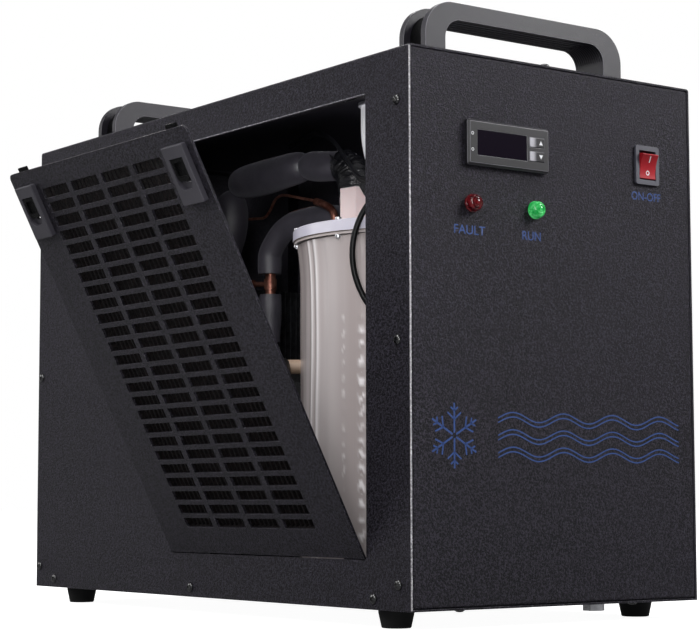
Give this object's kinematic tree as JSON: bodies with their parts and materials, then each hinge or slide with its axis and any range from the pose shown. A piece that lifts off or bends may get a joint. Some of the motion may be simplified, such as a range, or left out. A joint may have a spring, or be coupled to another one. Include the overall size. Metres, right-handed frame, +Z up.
{
  "type": "water chiller",
  "caption": "Compact recirculating water chiller in a folded steel case with two carrying handles and a slotted side door tipped open over its tank and pipes.",
  "frame": {"origin": "centre of the case footprint, on the floor under the rubber feet", "axes": "+Z up, -Y out of the front panel with the controller, -X out of the side with the slotted door, +Y towards the rear ports and fan grille"},
  "size_m": [0.4499, 0.5932, 0.4755],
  "materials": {
    "case_paint": "fine textured black powder coat",
    "screw_black": "blackened steel",
    "foot_rubber": "matte black rubber",
    "handle_plastic": "satin black moulded plastic",
    "inner_plastic": "matte black moulded plastic",
    "control_plastic": "matte black plastic",
    "button_plastic": "dark grey plastic",
    "display": "dark tinted display window",
    "red_lens": "unlit red lens",
    "green_lens": "green lens",
    "rocker_red": "glossy red",
    "tank_plastic": "pale grey plastic under clear film",
    "sensor_plastic": "pinkish white plastic",
    "white_plastic": "white plastic",
    "bright_steel": "bright steel",
    "brass": "nickel-free machined brass",
    "foam": "closed-cell black foam sleeve",
    "cable": "black rubber",
    "copper": "bare copper",
    "fin_aluminium": "thin bright fins",
    "can_paint": "black painted steel",
    "pump_plastic": "black moulded plastic"
  },
  "bodies": {
    "chassis": {"hood": "case_paint", "front_panel": "case_paint", "rear_panel": "case_paint", "base_pan": "case_paint", "case_screws": "screw_black", "foot_screws": "screw_black", "handle_screws": "screw_black", "foot_front_left": "foot_rubber", "foot_front_right": "foot_rubber", "foot_rear_left": "foot_rubber", "foot_rear_right": "foot_rubber", "compressor_mounts": "foot_rubber", "front_handle": "handle_plastic", "rear_handle": "handle_plastic", "fan_shroud": "inner_plastic", "controller_case": "control_plastic", "lamp_holders": "control_plastic", "switch_body": "control_plastic", "power_inlet": "control_plastic", "compressor_cover": "control_plastic", "controller_window": "display", "fault_lamp": "red_lens", "run_lamp": "green_lens", "tank_body": "tank_plastic", "tank_lid": "tank_plastic", "level_sensor": "sensor_plastic", "filler_neck": "white_plastic", "filler_hose": "white_plastic", "tank_lid_screws": "bright_steel", "evaporator_coil": "bright_steel", "drain_plug": "bright_steel", "water_ports": "brass", "return_foam_elbow": "foam", "return_foam_run": "foam", "return_foam_drop": "foam", "suction_foam": "foam", "sensor_lead": "cable", "controller_leads": "cable", "pump_hoses": "cable", "suction_line": "copper", "capillary_tube": "copper", "filter_drier": "copper", "liquid_line": "copper", "discharge_line": "copper", "condenser_coil": "copper", "condenser_fins": "fin_aluminium", "compressor": "can_paint", "fan_motor": "can_paint", "pump": "pump_plastic"},
    "door": {"door_panel": "case_paint", "filter_frame": "inner_plastic", "latch_housing_front": "handle_plastic", "latch_housing_rear": "handle_plastic"},
    "latch_front": {"latch_slider_front": "handle_plastic"},
    "latch_rear": {"latch_slider_rear": "handle_plastic"},
    "rocker": {"switch_rocker": "rocker_red"},
    "key_up": {"button_up": "button_plastic"},
    "key_down": {"button_down": "button_plastic"},
    "fan": {"fan_rotor": "inner_plastic"},
    "cap": {"filler_cap": "white_plastic"}
  },
  "joints": [
    {"name": "door_tilt", "type": "hinge", "parent": "chassis", "child": "door", "pos_m": [-0.1435, 0, 0.0506], "axis": [0, 1, 0], "range_deg": [0, 27.1]},
    {"name": "latch_front_slide", "type": "slide", "parent": "door", "child": "latch_front", "axis": [0.4555, 0, -0.8902], "range_m": [0, 0.006], "stiffness_N_per_m": 200, "springref_m": -0.002},
    {"name": "latch_rear_slide", "type": "slide", "parent": "door", "child": "latch_rear", "axis": [0.4555, 0, -0.8902], "range_m": [0, 0.006], "stiffness_N_per_m": 200, "springref_m": -0.002},
    {"name": "rocker_tip", "type": "hinge", "parent": "chassis", "child": "rocker", "pos_m": [0.0954, -0.286, 0.3601], "axis": [1, 0, 0], "range_deg": [-24, 0]},
    {"name": "key_up_press", "type": "slide", "parent": "chassis", "child": "key_up", "axis": [0, 1, 0], "range_m": [0, 0.0008], "stiffness_N_per_m": 400, "springref_m": -0.0005},
    {"name": "key_down_press", "type": "slide", "parent": "chassis", "child": "key_down", "axis": [0, 1, 0], "range_m": [0, 0.0008], "stiffness_N_per_m": 400, "springref_m": -0.0005},
    {"name": "fan_spin", "type": "hinge", "parent": "chassis", "child": "fan", "pos_m": [0.018, 0.2735, 0.171], "axis": [0, 1, 0], "continuous": true},
    {"name": "filler_cap_turn", "type": "hinge", "parent": "chassis", "child": "cap", "pos_m": [-0.03, -0.102, 0.44], "axis": [0, 0, 1], "range_deg": [0, 270]}
  ]
}
